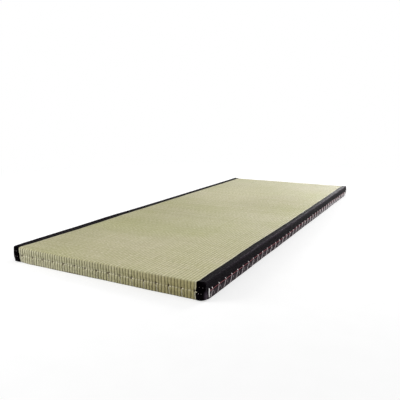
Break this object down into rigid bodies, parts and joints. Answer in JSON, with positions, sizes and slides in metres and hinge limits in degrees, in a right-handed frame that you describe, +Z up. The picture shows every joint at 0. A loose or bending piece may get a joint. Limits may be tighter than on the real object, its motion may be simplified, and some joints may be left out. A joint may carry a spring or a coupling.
{
  "type": "tatami mat",
  "caption": "Flat oblong tatami mat: woven rush facing over a firm filled body, turned down and sewn at the short ends, with a black cloth binding along each long edge.",
  "frame": {"origin": "middle of the flat underside, on the surface that the mat lies on", "axes": "+Y along the mat's length, +X across its width towards binding_right, +Z up through its thickness"},
  "size_m": [0.8, 2, 0.06],
  "materials": {
    "rush": "woven dry rush, pale straw green, ribbed lengthwise, dull with a faint sheen on the strands",
    "binding_cloth": "tightly woven black cloth, slightly violet, with a soft sheen on the folded edge"
  },
  "bodies": {
    "root": {"rush_body": "rush", "binding_left": "binding_cloth", "binding_right": "binding_cloth"}
  },
  "joints": []
}
